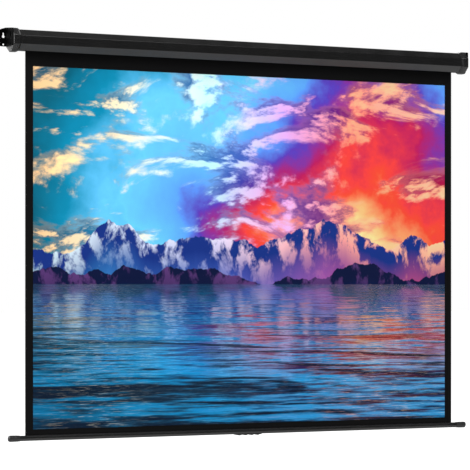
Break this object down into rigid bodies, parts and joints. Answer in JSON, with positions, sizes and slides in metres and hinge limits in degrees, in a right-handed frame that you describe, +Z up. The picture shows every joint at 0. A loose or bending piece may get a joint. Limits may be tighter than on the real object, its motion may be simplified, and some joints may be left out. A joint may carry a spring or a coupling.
{
  "type": "projection screen",
  "caption": "Wall-mounted manual pull-down projection screen: a slotted case with a spring roller, black-bordered screen fabric, and a weight bar with a pull handle.",
  "frame": {"origin": "middle of the case's flat back, on the wall's plane", "axes": "+X along the screen to its right end seen from the front, +Y into the wall, +Z up"},
  "size_m": [1.9276, 0.081, 1.4606],
  "materials": {
    "case_paint": "black satin powder coat on roll-formed steel",
    "bracket_paint": "black powder coat on 2 mm steel plate",
    "cap_plastic": "black moulded plastic with a fine grain",
    "black_screws": "black oxide",
    "bright_steel": "zinc-plated steel",
    "spring_steel": "oiled spring wire",
    "acetal": "natural acetal",
    "black_fabric": "matt black coated screen fabric",
    "screen_coat": "matt white projection coat, shown with a projected scene",
    "bar_finish": "black satin paint on an aluminium extrusion",
    "bar_cap_plastic": "black moulded plastic",
    "handle_plastic": "black moulded plastic"
  },
  "bodies": {
    "housing": {"case_shell": "case_paint", "left_end_cap": "cap_plastic", "right_end_cap": "cap_plastic", "left_wall_bracket": "bracket_paint", "right_wall_bracket": "bracket_paint", "left_cap_screw_front": "black_screws", "left_cap_screw_back": "black_screws", "right_cap_screw_front": "black_screws", "right_cap_screw_back": "black_screws", "left_bracket_screw_front": "black_screws", "left_bracket_screw_back": "black_screws", "right_bracket_screw_front": "black_screws", "right_bracket_screw_back": "black_screws", "left_saddle_plate": "bright_steel", "right_saddle_plate": "bright_steel", "bearing_bush": "acetal", "spring_spindle": "bright_steel", "spindle_collar": "acetal", "torsion_spring": "spring_steel", "ratchet_disc": "bright_steel", "retaining_ring": "bright_steel", "screen_backing": "black_fabric", "viewing_surface": "screen_coat"},
    "roller": {"roller_tube": "bright_steel", "safety_wraps": "black_fabric", "left_roller_plug": "acetal", "right_roller_plug": "acetal", "idle_axle_pin": "bright_steel", "upper_pawl_pin": "bright_steel", "lower_pawl_pin": "bright_steel"},
    "upper_pawl_body": {"upper_pawl": "bright_steel"},
    "lower_pawl_body": {"lower_pawl": "bright_steel"},
    "bar": {"weight_bar": "bar_finish", "hem_rod": "acetal", "left_bar_cap": "bar_cap_plastic", "right_bar_cap": "bar_cap_plastic", "pull_handle": "handle_plastic", "left_handle_screw": "black_screws", "right_handle_screw": "black_screws"}
  },
  "joints": [
    {"name": "screen_travel", "type": "slide", "parent": "housing", "child": "bar", "axis": [0, 0, 1], "range_m": [0, 1.345], "deforming": ["screen_backing", "viewing_surface"]},
    {"name": "roller_spin", "type": "hinge", "parent": "housing", "child": "roller", "pos_m": [0, -0.026, 0.003], "axis": [-1, 0, 0], "range_deg": [0, 4050]},
    {"name": "upper_pawl_swing", "type": "hinge", "parent": "roller", "child": "upper_pawl_body", "pos_m": [-0.9155, -0.026, 0.019], "axis": [-1, 0, 0], "range_deg": [0, 22]},
    {"name": "lower_pawl_swing", "type": "hinge", "parent": "roller", "child": "lower_pawl_body", "pos_m": [-0.9155, -0.026, -0.013], "axis": [-1, 0, 0], "range_deg": [0, 22]}
  ],
  "couplings": [
    {"joint": "roller_spin", "follows": "screen_travel", "rad_per_m": 52.554}
  ]
}
